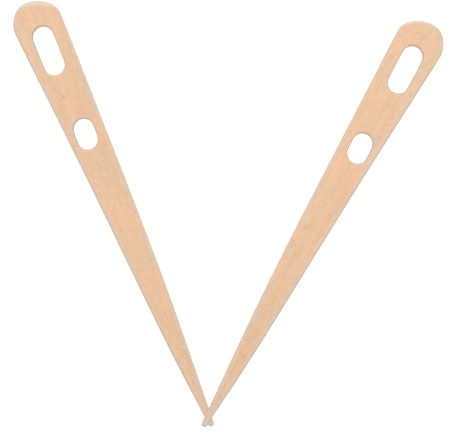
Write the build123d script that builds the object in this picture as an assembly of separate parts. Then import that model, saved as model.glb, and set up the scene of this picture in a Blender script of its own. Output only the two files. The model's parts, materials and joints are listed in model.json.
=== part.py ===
from build123d import *
import os
from math import asin, cos, degrees, radians, sin, sqrt

# A pair of flat wooden weaving needles. Each one is a single strip of wood with two eyes.
# Millimetres. A needle is made in its own frame: X from the tip to the head, Y towards the
# outer edge, Z up from the underside.

# Strip
LENGTH = 150.0
THICKNESS = 4.0

# Round head, centred a little to the outer side of the axis
HEAD_RADIUS = 8.13
HEAD_SHIFT = 0.4

# The head is sanded by hand, so it isn't a true circle: its distance from the head's centre at
# the inner shoulder, near the end and at the outer shoulder, with each one's angle from the axis
HEAD_INNER_SHOULDER = (8.26, -81)
HEAD_END = (7.95, -10)
HEAD_OUTER_SHOULDER = (8.36, 30)

# Blunt tip: cut square, with its two corners rounded
TIP_HALF_WIDTH = 0.98
TIP_CORNER = 0.6
TIP_SHIFT = 0.25

# Distance of each long edge from the axis, at three places along the needle
STATIONS = (14.0, 46.0, 94.0)
INNER_EDGE = (1.7, 4.0, 6.1)
OUTER_EDGE = (2.15, 3.95, 6.0)

# Slope of each long edge against the axis where it leaves the tip and where it meets the head
INNER_TIP_SLOPE = 3.2
OUTER_TIP_SLOPE = 1.7
INNER_HEAD_SLOPE = 1.9
OUTER_HEAD_SLOPE = 2.8

# Eyes: centre along and across the needle, overall length, width, turn towards the inner edge
LONG_EYE = (132.85, 0.65, 16.4, 6.7, 1.5)
SHORT_EYE = (103.4, 0.35, 10.05, 6.45, 2.5)

# Both faces fall away in one gentle arc over the front stretch, so the tip is thinner
TAPER_LENGTH = 55.0
TAPER_DEPTH = 0.8

# Sanded edges
EDGE_ROUND = 0.5
EYE_ROUND = 0.5

# The V: each needle's lean from the Y axis, and the offset from the left needle's tip to the
# right needle's tip, which lies on top of the left one
LEFT_LEAN = 23.35
RIGHT_LEAN = 29.4
TIP_OFFSET_X = -3.65
TIP_OFFSET_Y = 0.15
REST_GAP = 0.17

# Overshoot of the cutting shapes past the wood, and what counts as lying on a line or along it
CUT_MARGIN = 5.0
SEAM_TOLERANCE = 0.01
ALMOST_ONE = 0.99

TAPER_ARC_RADIUS = (TAPER_LENGTH**2 + TAPER_DEPTH**2) / (2 * TAPER_DEPTH)


def on_circle(centre_x, centre_y, radius, angle):
    return (centre_x + radius * cos(radians(angle)), centre_y + radius * sin(radians(angle)))


def direction(angle):
    return (cos(radians(angle)), sin(radians(angle)))


def smooth_edge(start, middle, end, start_angle, end_angle):
    """A smooth edge through a few points, which leaves and arrives at the given angles."""
    tangents = (direction(start_angle), direction(end_angle))
    return Spline(start, *middle, end, tangents=tangents, tangent_scalars=(1, 1))


def outline():
    """The needle's plan shape: head, outer edge, tip, inner edge."""
    head = (LENGTH - HEAD_RADIUS, HEAD_SHIFT)
    corner_offset = TIP_HALF_WIDTH - TIP_CORNER
    outer_corner = (TIP_CORNER, TIP_SHIFT + corner_offset, TIP_CORNER)
    inner_corner = (TIP_CORNER, TIP_SHIFT - corner_offset, TIP_CORNER)

    head_outer = on_circle(*head, HEAD_RADIUS, 90 + OUTER_HEAD_SLOPE)
    head_inner = on_circle(*head, HEAD_RADIUS, -90 - INNER_HEAD_SLOPE)
    head_round = [on_circle(*head, *p) for p in (HEAD_INNER_SHOULDER, HEAD_END, HEAD_OUTER_SHOULDER)]
    tip_outer = on_circle(*outer_corner, 90 + OUTER_TIP_SLOPE)
    end_outer = on_circle(*outer_corner, 180)
    end_inner = on_circle(*inner_corner, 180)
    tip_inner = on_circle(*inner_corner, -90 - INNER_TIP_SLOPE)

    outer = list(zip(STATIONS, OUTER_EDGE))
    inner = [(x, -y) for x, y in zip(STATIONS, INNER_EDGE)]
    edges = [
        smooth_edge(head_inner, head_round, head_outer, -INNER_HEAD_SLOPE, 180 + OUTER_HEAD_SLOPE),
        smooth_edge(tip_outer, outer, head_outer, OUTER_TIP_SLOPE, OUTER_HEAD_SLOPE),
        ThreePointArc(tip_outer, on_circle(*outer_corner, 135), end_outer),
        Line(end_outer, end_inner),
        ThreePointArc(end_inner, on_circle(*inner_corner, -135), tip_inner),
        smooth_edge(tip_inner, inner, head_inner, -INNER_TIP_SLOPE, -INNER_HEAD_SLOPE),
    ]
    return make_face(edges)


def side_profile():
    """The strip seen from its edge: parallel faces, then both curve in towards the tip."""
    top_start = (TAPER_LENGTH, THICKNESS)
    top_tip = (0, THICKNESS - TAPER_DEPTH)
    under_start = (TAPER_LENGTH, 0)
    under_tip = (0, TAPER_DEPTH)
    far = LENGTH + CUT_MARGIN
    edges = [
        Line(under_start, (far, 0)),
        Line((far, 0), (far, THICKNESS)),
        Line((far, THICKNESS), top_start),
        TangentArc(top_start, top_tip, tangent=(-1, 0)),
        Line(top_tip, under_tip),
        TangentArc(under_start, under_tip, tangent=(-1, 0)),
    ]
    return make_face(Plane.XZ * Curve(edges))


def eye(centre_x, centre_y, length, width, turn):
    """A round-ended slot right through the strip."""
    slot = Pos(centre_x, centre_y, -CUT_MARGIN) * Rot(0, 0, -turn) * SlotOverall(length, width)
    return extrude(slot, THICKNESS + 2 * CUT_MARGIN)


def runs_across_taper_start(edge):
    """True for the seam where the flat face turns into the taper, which stays smooth."""
    at_seam = abs(edge.center().X - TAPER_LENGTH) < SEAM_TOLERANCE
    return at_seam and abs(edge.tangent_at(0.5).Y) > ALMOST_ONE


def rim_edges(solid):
    """Every edge that runs around a face, so no upright seam and not the taper's own seam."""
    lying = [e for e in solid.edges() if abs(e.tangent_at(0.5).Z) < 0.5]
    return [e for e in lying if not runs_across_taper_start(e)]


def rims_of_eye(solid, centre_x, centre_y, length, width, turn):
    """The edges of one eye on both faces."""
    middle = Vector(centre_x, centre_y, THICKNESS / 2)
    reach = Vector(length / 2, width / 4, THICKNESS / 2).length
    return [e for e in rim_edges(solid) if (e.center() - middle).length < reach]


def make_needle():
    strip = extrude(outline(), THICKNESS)
    taper = extrude(side_profile(), HEAD_RADIUS + CUT_MARGIN, both=True)
    strip = (strip & taper).solid()
    strip = fillet(rim_edges(strip), EDGE_ROUND)
    for size in (LONG_EYE, SHORT_EYE):
        strip = strip - eye(*size)
        strip = fillet(rims_of_eye(strip, *size), EYE_ROUND)
    return strip.solid()


def face_drop(distance):
    """How far the tapered face lies below the flat one, at a distance from the tip."""
    run = TAPER_LENGTH - distance
    return TAPER_ARC_RADIUS - sqrt(TAPER_ARC_RADIUS**2 - run**2)


def crossing():
    """Distance from each tip to the place where the two axes cross, left then right."""
    left_x, left_y = direction(90 + LEFT_LEAN)
    right_x, right_y = direction(90 - RIGHT_LEAN)
    between = left_x * right_y - left_y * right_x
    from_left = (TIP_OFFSET_X * right_y - TIP_OFFSET_Y * right_x) / between
    from_right = (TIP_OFFSET_X * left_y - TIP_OFFSET_Y * left_x) / between
    return from_left, from_right


def resting_tilt():
    """Slope of the right needle, with its head on the table and its tip on the other tip."""
    from_left, from_right = crossing()
    height = THICKNESS - face_drop(from_left) + REST_GAP - face_drop(from_right)
    return degrees(asin(height / (LENGTH - EDGE_ROUND - from_right)))


def lay_left(needle):
    return Rot(0, 0, 90 + LEFT_LEAN) * needle


def lay_right(needle):
    turned_over = Pos(0, 0, THICKNESS) * Rot(180, 0, 0) * needle
    heel = LENGTH - EDGE_ROUND
    tilted = Pos(heel, 0, 0) * Rot(0, resting_tilt(), 0) * Pos(-heel, 0, 0) * turned_over
    return Pos(TIP_OFFSET_X, TIP_OFFSET_Y, 0) * Rot(0, 0, 90 - RIGHT_LEAN) * tilted


needle = make_needle()
left = lay_left(needle)
right = lay_right(needle)
pair_box = Compound([left, right]).bounding_box()
to_origin = Pos(-pair_box.center().X, -pair_box.center().Y, -pair_box.min.Z)

os.makedirs("parts", exist_ok=True)
export_step(to_origin * left, "parts/left_needle.step")
export_step(to_origin * right, "parts/right_needle.step")
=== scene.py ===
import json
import math

import bmesh
import bpy
import numpy as np
from mathutils import Matrix, Vector, noise
from mathutils.bvhtree import BVHTree
from mathutils.geometry import delaunay_2d_cdt


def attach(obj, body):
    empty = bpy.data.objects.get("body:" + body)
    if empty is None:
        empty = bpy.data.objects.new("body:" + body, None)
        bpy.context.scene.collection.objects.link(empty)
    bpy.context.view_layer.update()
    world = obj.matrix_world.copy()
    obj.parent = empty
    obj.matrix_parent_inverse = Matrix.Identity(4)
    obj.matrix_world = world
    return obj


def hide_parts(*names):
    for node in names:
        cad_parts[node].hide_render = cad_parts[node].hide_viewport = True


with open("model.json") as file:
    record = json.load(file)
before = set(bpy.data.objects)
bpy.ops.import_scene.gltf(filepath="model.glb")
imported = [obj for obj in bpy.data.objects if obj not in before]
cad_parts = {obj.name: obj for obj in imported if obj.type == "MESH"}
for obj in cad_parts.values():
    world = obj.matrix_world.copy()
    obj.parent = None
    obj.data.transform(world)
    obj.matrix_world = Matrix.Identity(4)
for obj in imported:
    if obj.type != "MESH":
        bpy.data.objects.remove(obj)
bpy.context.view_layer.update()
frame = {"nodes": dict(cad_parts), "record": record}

# A pair of flat wooden weaving needles lying in a V. Each needle gets a finer mesh than its CAD
# solid, with hand-sanded edges, and a beech material whose grain runs along that needle.
# Metres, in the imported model's frame.

MM = 0.001
RECORD = frame["record"]
MOUNTS = {mount["name"]: mount for mount in RECORD["mounts"]}
PIECES = {"left": "left_needle", "right": "right_needle"}

# Mesh density: spacing along the rims and over the faces, gap from one row of face points to the
# next and from the rims in shares of that spacing, and steps in a rounded edge
EDGE_STEP = 0.42 * MM
FACE_STEP = 1.0 * MM
ROW_GAP = 0.866
RIM_CLEARANCE = 0.55
ROUND_STEPS = 7

# Reading the solid: how far its mesh may lie from its true outline, corners this close are one
# corner, outline points this close are one point, points this close to a straight line aren't
# bends, and the smooth curve's steps
MESH_TOLERANCE = 0.035 * MM
CORNERS_WITHIN = 1e-6
DOUBLED_WITHIN = 0.01 * MM
STRAIGHT_WITHIN = 2e-4 * MM
CURVE_STEPS = 24
FEWEST_POINTS = 12
ALMOST_ZERO = 1e-9

# The face triangles are found in millimetres, to this tolerance
TRIANGLE_TOLERANCE = 1e-7

# A curve bulges off its chord by this share of its length times its ends' slope to the chord
BULGE_SHARE = 0.25

# The faces' height is read at this many places, that far in from the tip and the head, from
# above, with a running mean over a few of them
HEIGHT_PLACES = 90
TIP_CLEARANCE = 1.6 * MM
HEAD_CLEARANCE = 2.0 * MM
NEAREST_POINTS = 4
ABOVE_FACE = 10 * MM
MEAN_OVER = 5

# How far the sanded edge reaches in from the outline, and down from the face, at four distances
# from the tip. It reaches this share of the half thickness at most
EDGE_PLACES = (0, 3 * MM, 20 * MM, 60 * MM)
EDGE_REACH = (0.4 * MM, 0.45 * MM, 1.15 * MM, 0.75 * MM)
EDGE_DEPTH = (0.6 * MM, 0.65 * MM, 0.95 * MM, 0.8 * MM)
DEEPEST_EDGE = 0.9

# The same reach and depth for the eyes, and the narrow lip where an edge runs into the face
EYE_REACH = 0.6 * MM
EYE_DEPTH = 0.6 * MM
FACE_LIP = 0.07 * MM

# The bevel sanded on each head. It is widest where the edge faces along the row's +Y and fades out
# on both sides of that. It starts between these two distances from the head's end
BEVEL_REACH = {"left": 1.75 * MM, "right": 1.0 * MM}
BEVEL_SLOPE = 0.75
BEVEL_SPREAD = math.radians(50)
BEVEL_START = (12.0 * MM, 8.0 * MM)

# A bevel turns from round to flat between these reaches, in shares of the rounding at the head
FLAT_BETWEEN = (0.45, 1.05)

# The bevel's pale end-grain tone, a painted highlight there as the bevel faces the lamp, shows
# fully over this share of its width, and this much at its inner edge
BEVEL_CORE = 0.65
BEVEL_INNER_TONE = 0.4

# Hand work: height and waves per metre of the outline's wander and the faces' dips, and how
# uneven the edges' reach is, with the share of that left in a bevel
OUTLINE_WANDER = (0.025 * MM, 90)
FACE_DIPS = (0.02 * MM, 70)
EDGE_UNEVEN = (0.1, 160)
BEVEL_UNEVEN = 0.3
WANDER_SEED = 5
DIP_SEED = 20

# Which way the outer edge lies in each needle's own frame, how much wider its pale rim and dark
# edge line are, as painted shade on the edge that faces away from the lamp, and how far from the
# middle line that is all there
OUTWARD = {"left": 1, "right": -1}
OUTER_EDGE_SHADE = 0.22
OUTER_SHADE_TURN = 2 * MM

# The tips are worn back a little. An eye's edges count as further from the edge than the outline's
# do, and so does the middle of each wall, so they show less of the pale rim and of the painted edge
# shade
TIP_WEAR = 0.35 * MM
TIP_WEAR_LENGTH = 2.5 * MM
EYE_EDGE_TONE_SAVED = 0.3 * MM
WALL_EDGE_TONE_SAVED = 0.55 * MM


# ---------------------------------------------------------------- the needles' shape


def needle_axes(side):
    """The needle's own frame, at mid-thickness: X towards the head, Z out of the upper face."""
    long_eye = MOUNTS[side + "_long_eye"]
    short_eye = MOUNTS[side + "_short_eye"]
    origin = Vector(long_eye["pos_m"])
    up = Vector(long_eye["axis"]).normalized()
    ahead = origin - Vector(short_eye["pos_m"])
    across = up.cross(ahead).normalized()
    ahead = across.cross(up)
    axes = Matrix((ahead, across, up)).transposed().to_4x4()
    axes.translation = origin
    return axes


def solid_in_own_frame(node, axes):
    bm = bmesh.new()
    bm.from_mesh(frame["nodes"][node].data)
    bmesh.ops.remove_doubles(bm, verts=bm.verts, dist=CORNERS_WITHIN)
    bm.transform(axes.inverted())
    return bm


def chained(edges):
    """Closed rings of points from a set of loose edges."""
    beside = {}
    for edge in edges:
        a, b = edge.verts
        beside.setdefault(a, []).append(b)
        beside.setdefault(b, []).append(a)
    rings = []
    while beside:
        start = next(iter(beside))
        ring, last, here = [start], None, start
        while True:
            ahead = [v for v in beside[here] if v is not last]
            last, here = here, ahead[0]
            if here is start:
                break
            ring.append(here)
        for vert in ring:
            del beside[vert]
        rings.append(np.array([vert.co.xy[:] for vert in ring]))
    return rings


def signed_area(ring):
    x, y = ring.T
    return 0.5 * np.sum(x * np.roll(y, -1) - y * np.roll(x, -1))


def bends_only(ring):
    """The ring without doubled points, or points on a straight line between their neighbours."""
    gap = np.linalg.norm(ring - np.roll(ring, 1, 0), axis=1)
    ring = ring[gap > DOUBLED_WITHIN]
    before, after = np.roll(ring, 1, 0), np.roll(ring, -1, 0)
    along = after - before
    offset = ring - before
    off_line = np.abs(along[:, 0] * offset[:, 1] - along[:, 1] * offset[:, 0])
    off_line /= np.linalg.norm(along, axis=1)
    return ring[off_line > STRAIGHT_WITHIN]


def held_to_chord(tangent, slope, span):
    """The tangent, no further off the chord than lets the curve bulge by the mesh tolerance."""
    away = tangent - slope
    size = np.maximum(np.linalg.norm(away, axis=1)[:, None], ALMOST_ZERO)
    return slope + away * np.minimum(1, MESH_TOLERANCE / (BULGE_SHARE * span * size))


def smooth_ring(ring, step):
    """Evenly spaced points on a smooth closed curve through the ring's points."""
    after = np.roll(ring, -1, 0)
    span = np.linalg.norm(after - ring, axis=1)[:, None]
    slope = (after - ring) / span
    before_span, before_slope = np.roll(span, 1, 0), np.roll(slope, 1, 0)
    tangent = (before_span * slope + span * before_slope) / (span + before_span)
    leaving = span * held_to_chord(tangent, slope, span)
    arriving = span * held_to_chord(np.roll(tangent, -1, 0), slope, span)
    t = np.linspace(0, 1, CURVE_STEPS, endpoint=False)[:, None, None]
    h00, h10 = 2 * t**3 - 3 * t**2 + 1, t**3 - 2 * t**2 + t
    h01, h11 = -2 * t**3 + 3 * t**2, t**3 - t**2
    dense = h00 * ring + h10 * leaving + h01 * after + h11 * arriving
    dense = dense.transpose(1, 0, 2).reshape(-1, 2)
    closed = np.vstack([dense, dense[:1]])
    run = np.r_[0, np.cumsum(np.linalg.norm(np.diff(closed, axis=0), axis=1))]
    count = max(FEWEST_POINTS, round(run[-1] / step))
    places = np.linspace(0, run[-1], count, endpoint=False)
    return np.stack([np.interp(places, run, closed[:, i]) for i in (0, 1)], 1)


def outline_rings(solid):
    """The outer edge, counter-clockwise, then the eyes, clockwise, at mid-thickness."""
    cut = solid.copy()
    geometry = cut.verts[:] + cut.edges[:] + cut.faces[:]
    found = bmesh.ops.bisect_plane(cut, geom=geometry, plane_co=(0, 0, 0), plane_no=(0, 0, 1))
    edges = [e for e in found["geom_cut"] if isinstance(e, bmesh.types.BMEdge)]
    rings = sorted(chained(edges), key=lambda ring: -abs(signed_area(ring)))
    cut.free()
    turned = []
    for number, ring in enumerate(rings):
        wants_left_turn = number == 0
        if (signed_area(ring) > 0) != wants_left_turn:
            ring = ring[::-1]
        turned.append(smooth_ring(bends_only(ring), EDGE_STEP))
    return turned


def outward_normals(ring):
    """Plan normals that point out of the wood, for a ring with the wood on its left."""
    along = np.roll(ring, -1, 0) - np.roll(ring, 1, 0)
    along /= np.linalg.norm(along, axis=1)[:, None]
    return np.stack([along[:, 1], -along[:, 0]], 1)


def half_thickness(solid, outer):
    """Mid-plane to face, as a function of the place along the needle, read from the solid."""
    tree = BVHTree.FromBMesh(solid)
    low, high = outer[:, 0].min(), outer[:, 0].max()
    places, heights = [], []
    for x in np.linspace(low + TIP_CLEARANCE, high - HEAD_CLEARANCE, HEIGHT_PLACES):
        near = outer[np.argsort(np.abs(outer[:, 0] - x))[:NEAREST_POINTS]]
        y = 0.5 * (near[:, 1].min() + near[:, 1].max())
        hit = tree.ray_cast(Vector((x, y, ABOVE_FACE)), Vector((0, 0, -1)))[0]
        if hit is not None and hit.z > 0:
            places.append(x)
            heights.append(hit.z)
    kernel = np.ones(MEAN_OVER) / MEAN_OVER
    padded = np.pad(heights, MEAN_OVER // 2, mode="edge")
    smooth = np.convolve(padded, kernel, mode="valid")
    return lambda x: np.interp(x, places, smooth)


def soft_step(x, start, end):
    t = np.clip((x - start) / (end - start), 0, 1)
    return t * t * (3 - 2 * t)


def wander(points, scale, seed):
    """Smooth noise from -1 to 1 at each plan point."""
    return np.array([noise.noise(Vector((x * scale, y * scale, seed))) for x, y in points])


def unevenness(ring, seed):
    """A factor near 1 for the edge's reach at each point of the ring."""
    share, waves = EDGE_UNEVEN
    return 1 + share * wander(ring, waves, seed)


def eye_rounding(ring, seed):
    """Reach in from an eye's edge and depth below the face at each point of its ring."""
    count = len(ring)
    return EYE_REACH * unevenness(ring, seed), np.full(count, EYE_DEPTH), np.zeros(count)


def outline_rounding(ring, side, axes, ends, seed):
    """The same for the outline, and how much of a flat bevel the edge is: 0 round, 1 flat."""
    low, high = ends
    round_reach = np.interp(ring[:, 0] - low, EDGE_PLACES, EDGE_REACH)
    round_depth = np.interp(ring[:, 0] - low, EDGE_PLACES, EDGE_DEPTH)

    up_row = axes.to_3x3().inverted() @ Vector((0, 1, 0))
    normals = outward_normals(ring)
    turn = np.arctan2(normals[:, 1], normals[:, 0]) - math.atan2(up_row.y, up_row.x)
    turn = (turn + math.pi) % (2 * math.pi) - math.pi
    on_head = soft_step(ring[:, 0], high - BEVEL_START[0], high - BEVEL_START[1])
    bevel = on_head * np.clip(1 - (turn / BEVEL_SPREAD) ** 2, 0, 1)
    bevel_reach = BEVEL_REACH[side] * bevel
    flat_from, flat_to = FLAT_BETWEEN
    flat = soft_step(bevel_reach, flat_from * EDGE_REACH[-1], flat_to * EDGE_REACH[-1])

    uneven = unevenness(ring, seed)
    reach = np.maximum(round_reach * uneven, bevel_reach * (1 + BEVEL_UNEVEN * (uneven - 1)))
    depth = round_depth + flat * (BEVEL_SLOPE * reach - round_depth)
    return reach, depth, flat


def inside(points, ring):
    """Which points lie inside a closed ring."""
    x, y = points[:, 0][:, None], points[:, 1][:, None]
    x0, y0 = ring.T
    x1, y1 = np.roll(ring, -1, 0).T
    crosses = (y0 > y) != (y1 > y)
    with np.errstate(divide="ignore", invalid="ignore"):
        at = (x1 - x0) * (y - y0) / (y1 - y0) + x0
    return (crosses & (x < at)).sum(1) % 2 == 1


def inner_points(rings):
    """A staggered grid of points on the face, clear of every rim, and each one's gap to it."""
    low, high = rings[0].min(0), rings[0].max(0)
    rows = np.arange(low[1], high[1], FACE_STEP * ROW_GAP)
    grid = []
    for number, y in enumerate(rows):
        shift = 0.5 * FACE_STEP * (number % 2)
        grid += [(x + shift, y) for x in np.arange(low[0], high[0], FACE_STEP)]
    grid = np.array(grid)
    keep = inside(grid, rings[0])
    for ring in rings[1:]:
        keep &= ~inside(grid, ring)
    grid = grid[keep]
    rim = np.vstack(rings)
    gap = np.array([np.linalg.norm(rim - point, axis=1).min() for point in grid])
    clear = gap > RIM_CLEARANCE * FACE_STEP
    return grid[clear], gap[clear]


def face_triangles(rings, grid):
    """Triangles over the rims and the grid, without the eyes."""
    points = np.vstack([*rings, grid])
    edges, first = [], 0
    for ring in rings:
        count = len(ring)
        edges += [(first + i, first + (i + 1) % count) for i in range(count)]
        first += count
    scaled = [Vector(point / MM) for point in points]
    made = delaunay_2d_cdt(scaled, edges, [], 0, TRIANGLE_TOLERANCE, True)
    verts, faces, origins = made[0], made[2], made[3]
    if len(verts) != len(points):
        raise ValueError("the face mesh gained or lost points")
    source = [group[0] for group in origins]
    triangles = np.array([[source[i] for i in face] for face in faces])
    middles = points[triangles].mean(1)
    keep = inside(middles, rings[0])
    for ring in rings[1:]:
        keep &= ~inside(middles, ring)
    return triangles[keep]


def rounded_rings(ring, height, rounding, seed):
    """Plan points, height and distance in from the edge, ring after ring up to the face."""
    reach, depth, flat = rounding
    normals = outward_normals(ring)
    size, waves = OUTLINE_WANDER
    wavy = ring + normals * (size * wander(ring, waves, seed + WANDER_SEED))[:, None]
    half = height(ring[:, 0])
    depth = np.minimum(depth, DEEPEST_EDGE * half)
    layers = []
    for share in np.linspace(0, 1, ROUND_STEPS + 1):
        angle = 0.5 * math.pi * share
        into = reach * ((1 - flat) * (1 - math.cos(angle)) + flat * share)
        rise = depth * ((1 - flat) * math.sin(angle) + flat * share)
        layers.append((wavy - normals * into[:, None], half - depth + rise, into))
    lip = reach + FACE_LIP
    layers.append((wavy - normals * lip[:, None], half, lip))
    return layers


class Surface:
    """A needle's mesh as it grows: points, faces, and what the wood needs to know at each point."""

    def __init__(self):
        self.points, self.faces = [], []
        self.from_edge, self.end_grain_and_highlight = [], []

    def add(self, plan, height, from_edge, end_grain_and_highlight):
        """Adds points and returns the number of the first one."""
        first = len(self.points)
        self.points.extend(np.column_stack([plan, height]))
        self.from_edge.extend(from_edge)
        self.end_grain_and_highlight.extend(end_grain_and_highlight)
        return first

    def bridge(self, lower, upper, count, turn=1):
        """Quads between two rings. A turn of -1 makes them face the other way."""
        for i in range(count):
            j = (i + 1) % count
            self.faces.append((lower + i, lower + j, upper + j, upper + i)[::turn])


def add_rim(surface, ring, layers, flat, edge_tone_saved):
    """The wall and both rounded edges of one ring. Returns each face's last ring of points."""
    count = len(ring)
    # End grain where the edge faces along the needle. Below, the head bevel, which faces the lamp,
    # adds the same pale tone as a painted highlight
    end_grain_and_highlight = (1 - flat) * outward_normals(ring)[:, 0] ** 2
    bevel_steps = (0, BEVEL_CORE * ROUND_STEPS, ROUND_STEPS)
    tones = np.interp(range(ROUND_STEPS + 1), bevel_steps, (1, 1, BEVEL_INNER_TONE))
    tones = np.append(tones, 0)
    lowest, last = {}, {}
    for face in (1, -1):
        for level, (plan, height, into) in enumerate(layers):
            fading = end_grain_and_highlight * max(0, 1 - level / ROUND_STEPS)
            tone = fading + flat * tones[level]
            first = surface.add(plan, face * height, into + edge_tone_saved, tone)
            if level == 0:
                lowest[face] = first
            else:
                surface.bridge(last[face], first, count, face)
            last[face] = first
    saved = np.full(count, WALL_EDGE_TONE_SAVED)
    middle = surface.add(layers[0][0], np.zeros(count), saved, end_grain_and_highlight + flat)
    surface.bridge(lowest[-1], middle, count)
    surface.bridge(middle, lowest[1], count)
    return last


def add_faces(surface, rings, starts, height, low, seed):
    """Both faces, inside the last rings of their rims."""
    grid, gap = inner_points(rings)
    triangles = face_triangles(rings, grid)
    size, waves = FACE_DIPS
    from_edge = gap + np.interp(grid[:, 0] - low, EDGE_PLACES, EDGE_REACH)
    for face in (1, -1):
        dip = size * wander(grid, waves, seed + DIP_SEED * face)
        heights = face * (height(grid[:, 0]) + dip)
        first = surface.add(grid, heights, from_edge, np.zeros(len(grid)))
        place = []
        for ring, start in zip(rings, starts):
            place += range(start[face], start[face] + len(ring))
        place += range(first, first + len(grid))
        for a, b, c in triangles:
            surface.faces.append((place[a], place[b], place[c])[::face])


def needle_surface(side, axes, solid, seed):
    """The needle's surface in its own frame, and the place of its unworn tip."""
    rings = outline_rings(solid)
    outer = rings[0]
    low, high = outer[:, 0].min(), outer[:, 0].max()
    height = half_thickness(solid, outer)
    at_tip = 1 - soft_step(outer[:, 0], low, low + TIP_WEAR_LENGTH)
    outer[:, 0] += TIP_WEAR * at_tip

    surface = Surface()
    last_rings, starts = [], []
    for number, ring in enumerate(rings):
        if number == 0:
            rounding = outline_rounding(ring, side, axes, (low, high), seed)
            edge_tone_saved = 0
        else:
            rounding = eye_rounding(ring, seed)
            edge_tone_saved = EYE_EDGE_TONE_SAVED
        layers = rounded_rings(ring, height, rounding, seed)
        starts.append(add_rim(surface, ring, layers, rounding[2], edge_tone_saved))
        last_rings.append(layers[-1][0])
    add_faces(surface, last_rings, starts, height, low, seed)
    return surface, low


def needle_mesh(name, side, axes, solid, seed):
    surface, low = needle_surface(side, axes, solid, seed)
    mesh = bpy.data.meshes.new(name)
    mesh.from_pydata([axes @ Vector(p) for p in surface.points], [], surface.faces)
    bm = bmesh.new()
    bm.from_mesh(mesh)
    bmesh.ops.recalc_face_normals(bm, faces=bm.faces)
    bm.to_mesh(mesh)
    bm.free()
    mesh.shade_smooth()

    points = np.array(surface.points)
    # Painted shade: the outer edge, which faces away from the lamp, gets a wider pale rim and dark
    # edge line
    outwards = np.clip(OUTWARD[side] * points[:, 1] / OUTER_SHADE_TURN, -1, 1)
    from_edge = np.array(surface.from_edge) * (1 - OUTER_EDGE_SHADE * outwards)
    from_tip = points - np.array([low, 0, 0])
    grain = mesh.attributes.new("grain_mm", "FLOAT_VECTOR", "POINT")
    grain.data.foreach_set("vector", (from_tip / MM).astype(np.float32).ravel())
    edge = mesh.attributes.new("edge_mm", "FLOAT", "POINT")
    edge.data.foreach_set("value", (from_edge / MM).astype(np.float32))
    # Pale end grain, and the head bevel's painted highlight
    end = mesh.attributes.new("end_grain_and_highlight", "FLOAT", "POINT")
    end.data.foreach_set("value", np.array(surface.end_grain_and_highlight, np.float32))
    return mesh


# ---------------------------------------------------------------- the wood


# Linear colours of sanded beech, and of the painted highlight and painted shade at its edges
PEACH = (0.678, 0.418, 0.256, 1)
TAN = (0.632, 0.428, 0.266, 1)
WARM = (0.66, 0.385, 0.225, 1)
COOL = (0.62, 0.43, 0.305, 1)
RIM = (0.585, 0.465, 0.375, 1)
# Pale end grain, also used as the painted highlight on the head bevel
END_GRAIN_AND_HIGHLIGHT = (0.635, 0.51, 0.40, 1)
# Painted shade: a darker line right along the edges
EDGE_SHADE_TINT = (0.50, 0.385, 0.31, 1)
RAY_BROWN = (0.49, 0.31, 0.205, 1)
STREAK_BROWN = (0.56, 0.315, 0.18, 1)
SPECK_BROWN = (0.43, 0.20, 0.11, 1)
PORE_BROWN = (0.50, 0.26, 0.15, 1)

# Noises in the wood: cycles per millimetre along, across and through the needle, what is added to
# the needle's seed, and detail
NOISES = {
    "broad": ((0.08, 0.17, 0.17), 0, 2.0),
    "growth_rings": ((0.018, 0.55, 0.4), 7, 1.0),
    "fibres": ((0.07, 2.8, 2.8), 13, 3.0),
    "mottle": ((0.55, 1.1, 1.1), 19, 3.0),
    "warm": ((0.3, 0.5, 0.5), 23, 2.0),
    "cool": ((0.38, 0.6, 0.6), 27, 2.0),
    "ray_groups": ((0.07, 0.1, 0.1), 37, 1.0),
    "streaks": ((0.2, 1.3, 1.3), 43, 2.0),
}

# Where a noise's patches start and are all there, in the noise's own 0 to 1
PATCHES = {
    "broad": (0.36, 0.64),
    "warm": (0.53, 0.72),
    "cool": (0.56, 0.76),
    "ray_groups": (0.42, 0.58),
    "streaks": (0.54, 0.70),
}

# Scattered spots in the wood: cells per millimetre in the same three directions, what is added to
# the seed, each spot's size in cells, and the share of the cells that has one
SPOTS = {
    "rays": ((1.0, 0.2, 0.5), 31, 0.4, 0.45),
    "specks": ((0.3, 0.42, 0.42), 53, 0.17, 0.22),
    "pores": ((0.6, 1.1, 1.1), 61, 0.38, 0.3),
}

# A spot is all there over this share of its size, and the cells' chances fade in over this one
SPOT_CORE = 0.35
SPOT_FADE = 0.6

# How strongly each tint covers the colour below it
STRENGTH = {
    "warm": 0.65,
    "cool": 0.55,
    "rays": 0.5,
    "streaks": 0.75,
    "pores": 0.5,
    "specks": 0.7,
    "rim": 0.85,
    "end_grain_and_highlight": 0.8,
    # painted shade along the edges
    "edge_shade": 0.6,
}

# How far each one makes the wood lighter or darker
SWAY = {"growth_rings": 0.06, "fibres": 0.11, "mottle": 0.13}

# Where each effect starts and is all there: along the needle from the tip, and in from the edge,
# both in millimetres
TIP_REGION = (55.0, 18.0)
BODY_REGION = (45.0, 70.0)
PORE_REGION = (42.0, 24.0)
STREAK_INSET = (0.4, 1.1)
PORE_INSET = (0.3, 0.9)
RIM_INSET = (1.25, 0.1)
# The darker line along the edges is painted shade
EDGE_SHADE_INSET = (0.5, 0.08)

# The rays lie aslant by this angle. The pale rim widens near the tip by this share
RAY_SLANT = 30
TIP_RIM_SPREAD = 0.25

# Roughness of the wood, with what the fibres and the pale rim add, and the height of the relief
ROUGHNESS = 0.5
FIBRE_ROUGHNESS = 0.14
RIM_ROUGHNESS = 0.06
RELIEF = 0.03 * MM
RELIEF_STRENGTH = 0.6
MOTTLE_RELIEF = 0.4
RAY_RELIEF = 0.5


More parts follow.
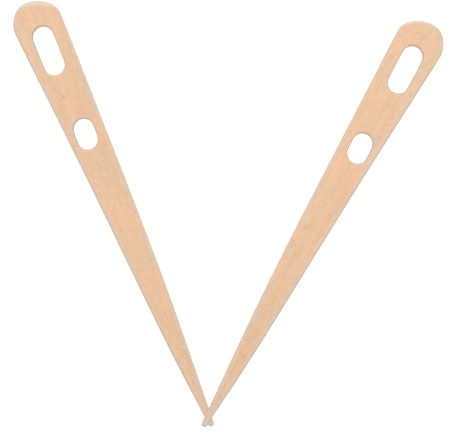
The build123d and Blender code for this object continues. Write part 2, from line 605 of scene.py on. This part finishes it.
class Graph:
    """Short calls for the few kinds of node that the wood uses."""

    def __init__(self, tree):
        self.tree = tree

    def node(self, kind, **settings):
        made = self.tree.nodes.new(kind)
        for name, value in settings.items():
            setattr(made, name, value)
        return made

    def feed(self, socket, value):
        if isinstance(value, bpy.types.NodeSocket):
            self.tree.links.new(value, socket)
        else:
            socket.default_value = value

    def attribute(self, name, output):
        return self.node("ShaderNodeAttribute", attribute_name=name).outputs[output]

    def math(self, operation, a, b=0.0):
        made = self.node("ShaderNodeMath", operation=operation)
        self.feed(made.inputs[0], a)
        self.feed(made.inputs[1], b)
        return made.outputs[0]

    def turned(self, point, degrees):
        """The point turned in the plane of the needle's face."""
        made = self.node("ShaderNodeMapping")
        self.feed(made.inputs["Vector"], point)
        made.inputs["Rotation"].default_value = (0, 0, math.radians(degrees))
        return made.outputs[0]

    def spread(self, point, per_mm, shift):
        """The point in cycles per millimetre along, across and through the needle."""
        made = self.node("ShaderNodeMapping")
        self.feed(made.inputs["Vector"], point)
        made.inputs["Scale"].default_value = per_mm
        made.inputs["Location"].default_value = (shift, 0.7 * shift, 1.3 * shift)
        return made.outputs[0]

    def noise(self, point, detail=2.0):
        made = self.node("ShaderNodeTexNoise")
        self.feed(made.inputs["Vector"], point)
        made.inputs["Scale"].default_value = 1.0
        made.inputs["Detail"].default_value = detail
        return made.outputs["Fac"]

    def cells(self, point):
        """Distance to the nearest scattered point, and a random number for that point."""
        made = self.node("ShaderNodeTexVoronoi")
        self.feed(made.inputs["Vector"], point)
        made.inputs["Scale"].default_value = 1.0
        split = self.node("ShaderNodeSeparateColor")
        self.feed(split.inputs[0], made.outputs["Color"])
        return made.outputs["Distance"], split.outputs[0]

    def step(self, value, low, high):
        """0 at low, 1 at high, smooth between them. The two may be in either order."""
        made = self.node("ShaderNodeMapRange", interpolation_type="SMOOTHSTEP")
        self.feed(made.inputs["Value"], value)
        ends = (low, high, 0.0, 1.0) if low < high else (high, low, 1.0, 0.0)
        for number, end in enumerate(ends):
            made.inputs[1 + number].default_value = end
        return made.outputs["Result"]

    def blend(self, amount, a, b):
        made = self.node("ShaderNodeMix", data_type="RGBA")
        self.feed(made.inputs[0], amount)
        self.feed(made.inputs[6], a)
        self.feed(made.inputs[7], b)
        return made.outputs[2]

    def sway(self, value, strength):
        """A factor near 1 that follows a 0 to 1 value."""
        centred = self.math("SUBTRACT", value, 0.5)
        return self.math("ADD", self.math("MULTIPLY", centred, 2 * strength), 1.0)

    def dimmed(self, colour, factor):
        made = self.node("ShaderNodeVectorMath", operation="SCALE")
        self.feed(made.inputs[0], colour)
        self.feed(made.inputs["Scale"], factor)
        return made.outputs[0]


class Wood(Graph):
    """The wood's own patterns, for one needle's seed."""

    def __init__(self, tree, seed):
        super().__init__(tree)
        self.seed = seed
        self.grain = self.attribute("grain_mm", "Vector")
        self.from_edge = self.attribute("edge_mm", "Fac")
        split = self.node("ShaderNodeSeparateXYZ")
        self.feed(split.inputs[0], self.grain)
        self.from_tip = split.outputs["X"]

    def pattern(self, name):
        per_mm, shift, detail = NOISES[name]
        return self.noise(self.spread(self.grain, per_mm, self.seed + shift), detail)

    def patches(self, name):
        return self.step(self.pattern(name), *PATCHES[name])

    def scattered(self, name, point):
        """Separate soft spots. Which of the cells have one is random."""
        per_mm, shift, size, share = SPOTS[name]
        distance, chance = self.cells(self.spread(point, per_mm, self.seed + shift))
        spot = self.step(distance, size, SPOT_CORE * size)
        shows = self.step(chance, 1 - share, 1 - SPOT_FADE * share)
        return self.product(spot, shows)

    def product(self, a, b):
        return self.math("MULTIPLY", a, b)

    def tinted(self, colour, name, amount, tint):
        return self.blend(self.product(amount, STRENGTH[name]), colour, tint)


def base_colour(wood, fibres, mottle):
    """Broad peach and tan areas, warmer and cooler patches, growth rings, fibres and mottle."""
    colour = wood.blend(wood.patches("broad"), PEACH, TAN)
    colour = wood.tinted(colour, "warm", wood.patches("warm"), WARM)
    colour = wood.tinted(colour, "cool", wood.patches("cool"), COOL)
    light = wood.sway(wood.pattern("growth_rings"), SWAY["growth_rings"])
    light = wood.product(light, wood.sway(fibres, SWAY["fibres"]))
    light = wood.product(light, wood.sway(mottle, SWAY["mottle"]))
    return wood.dimmed(colour, light)


def ray_flecks(wood, slant):
    """Medullary rays: short dark dashes in loose groups, aslant across the grain."""
    rays = wood.scattered("rays", wood.turned(wood.grain, slant))
    rays = wood.product(rays, wood.patches("ray_groups"))
    return wood.product(rays, wood.step(wood.from_tip, *BODY_REGION))


def marked(wood, colour, near_tip):
    """Brown streaks and opened pores where the taper cuts the grain, and a few specks."""
    streaks = wood.product(wood.patches("streaks"), near_tip)
    streaks = wood.product(streaks, wood.step(wood.from_edge, *STREAK_INSET))
    colour = wood.tinted(colour, "streaks", streaks, STREAK_BROWN)
    pores = wood.scattered("pores", wood.grain)
    pores = wood.product(pores, wood.step(wood.from_tip, *PORE_REGION))
    pores = wood.product(pores, wood.step(wood.from_edge, *PORE_INSET))
    colour = wood.tinted(colour, "pores", pores, PORE_BROWN)
    return wood.tinted(colour, "specks", wood.scattered("specks", wood.grain), SPECK_BROWN)


def pale_rim(wood, near_tip):
    """1 at the edge and 0 inside, wider near the tip."""
    widening = wood.math("ADD", wood.product(near_tip, -TIP_RIM_SPREAD), 1.0)
    return wood.step(wood.product(wood.from_edge, widening), *RIM_INSET)


def wood_material(name, seed, slant):
    material = bpy.data.materials.new(name)
    material.use_nodes = True
    shader = material.node_tree.nodes["Principled BSDF"]
    wood = Wood(material.node_tree, seed)
    near_tip = wood.step(wood.from_tip, *TIP_REGION)
    fibres, mottle = wood.pattern("fibres"), wood.pattern("mottle")

    colour = base_colour(wood, fibres, mottle)
    rays = ray_flecks(wood, slant)
    colour = wood.tinted(colour, "rays", rays, RAY_BROWN)
    colour = marked(wood, colour, near_tip)

    # The edges are paler and greyer and the end grain palest. That pale tone on the head bevel,
    # which faces the lamp, is a painted highlight. A darker line right at the edges is painted
    # shade
    rim = pale_rim(wood, near_tip)
    colour = wood.tinted(colour, "rim", rim, RIM)
    # Pale end grain, and a painted highlight on the head bevel, which faces the lamp
    end_grain_and_highlight = wood.attribute("end_grain_and_highlight", "Fac")
    colour = wood.tinted(colour, "end_grain_and_highlight", end_grain_and_highlight, END_GRAIN_AND_HIGHLIGHT)
    # Painted shade: the wood darkens right at its edges, more widely on the outer edge
    edge_shade = wood.step(wood.from_edge, *EDGE_SHADE_INSET)
    colour = wood.tinted(colour, "edge_shade", edge_shade, EDGE_SHADE_TINT)
    wood.feed(shader.inputs["Base Color"], colour)

    rough = wood.math("ADD", ROUGHNESS, wood.product(fibres, FIBRE_ROUGHNESS))
    rough = wood.math("ADD", rough, wood.product(rim, RIM_ROUGHNESS))
    wood.feed(shader.inputs["Roughness"], rough)

    relief = wood.math("ADD", fibres, wood.product(mottle, MOTTLE_RELIEF))
    relief = wood.math("SUBTRACT", relief, wood.product(rays, RAY_RELIEF))
    bump = wood.node("ShaderNodeBump")
    bump.inputs["Strength"].default_value = RELIEF_STRENGTH
    bump.inputs["Distance"].default_value = RELIEF
    wood.feed(bump.inputs["Height"], relief)
    wood.feed(shader.inputs["Normal"], bump.outputs[0])
    return material


def build_needle(side, seed):
    node = PIECES[side]
    axes = needle_axes(side)
    solid = solid_in_own_frame(node, axes)
    mesh = needle_mesh(node + "_wood", side, axes, solid, seed)
    solid.free()
    piece = bpy.data.objects.new(node + "_wood", mesh)
    bpy.context.scene.collection.objects.link(piece)
    slant = RAY_SLANT * OUTWARD[side]
    mesh.materials.append(wood_material("beech_" + side, seed, slant))
    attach(piece, side)
    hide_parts(node)
    return piece


# ---------------------------------------------------------------- the studio


# A pale floor that glows a little, so it stays white
FLOOR_HALF = 1.5
FLOOR_COLOUR = (0.95, 0.95, 0.95, 1)
FLOOR_ROUGHNESS = 0.9
FLOOR_GLOW = 0.45

# One wide soft lamp, nearly overhead, and a white surround
KEY_PLACE = (0, 0.8, 2.0)
KEY_SIZE = (1.6, 1.2)
KEY_POWER = 34.5
WORLD_STRENGTH = 0.6
WHITE = (1, 1, 1, 1)

# The camera looks straight down on the pair
CAMERA_PLACE = (-1.10 * MM, -0.88 * MM, 0.6)
VIEW_WIDTH = 0.1463
SENSOR_WIDTH = 36.0

# Each needle's wood starts from its own seed
FIRST_SEED = 3.7
SEED_STEP = 11.3


def add_floor():
    mesh = bpy.data.meshes.new("floor")
    half = FLOOR_HALF
    corners = [(-half, -half, 0), (half, -half, 0), (half, half, 0), (-half, half, 0)]
    mesh.from_pydata(corners, [], [(0, 1, 2, 3)])
    floor = bpy.data.objects.new("floor", mesh)
    bpy.context.scene.collection.objects.link(floor)
    material = bpy.data.materials.new("pale_floor")
    material.use_nodes = True
    shader = material.node_tree.nodes["Principled BSDF"]
    shader.inputs["Base Color"].default_value = FLOOR_COLOUR
    shader.inputs["Roughness"].default_value = FLOOR_ROUGHNESS
    shader.inputs["Specular IOR Level"].default_value = 0.0
    shader.inputs["Emission Color"].default_value = WHITE
    shader.inputs["Emission Strength"].default_value = FLOOR_GLOW
    mesh.materials.append(material)


def add_key():
    """The lamp casts no shadow, so the floor stays plain white around the pair."""
    data = bpy.data.lights.new("key", "AREA")
    data.shape = "RECTANGLE"
    data.size, data.size_y = KEY_SIZE
    data.energy = KEY_POWER
    data.use_shadow = False
    lamp = bpy.data.objects.new("key", data)
    bpy.context.scene.collection.objects.link(lamp)
    lamp.location = KEY_PLACE
    lamp.rotation_euler = (-Vector(KEY_PLACE)).to_track_quat("-Z", "Y").to_euler()


def add_world():
    world = bpy.data.worlds.new("studio")
    world.use_nodes = True
    background = world.node_tree.nodes["Background"]
    background.inputs["Color"].default_value = WHITE
    background.inputs["Strength"].default_value = WORLD_STRENGTH
    bpy.context.scene.world = world


def add_camera():
    data = bpy.data.cameras.new("camera")
    data.sensor_width = SENSOR_WIDTH
    data.lens = SENSOR_WIDTH * CAMERA_PLACE[2] / VIEW_WIDTH
    camera = bpy.data.objects.new("camera", data)
    bpy.context.scene.collection.objects.link(camera)
    camera.location = CAMERA_PLACE
    bpy.context.scene.camera = camera


for number, side in enumerate(PIECES):
    build_needle(side, FIRST_SEED + SEED_STEP * number)
add_floor()
add_key()
add_world()
add_camera()
bpy.context.scene.view_settings.view_transform = "Standard"
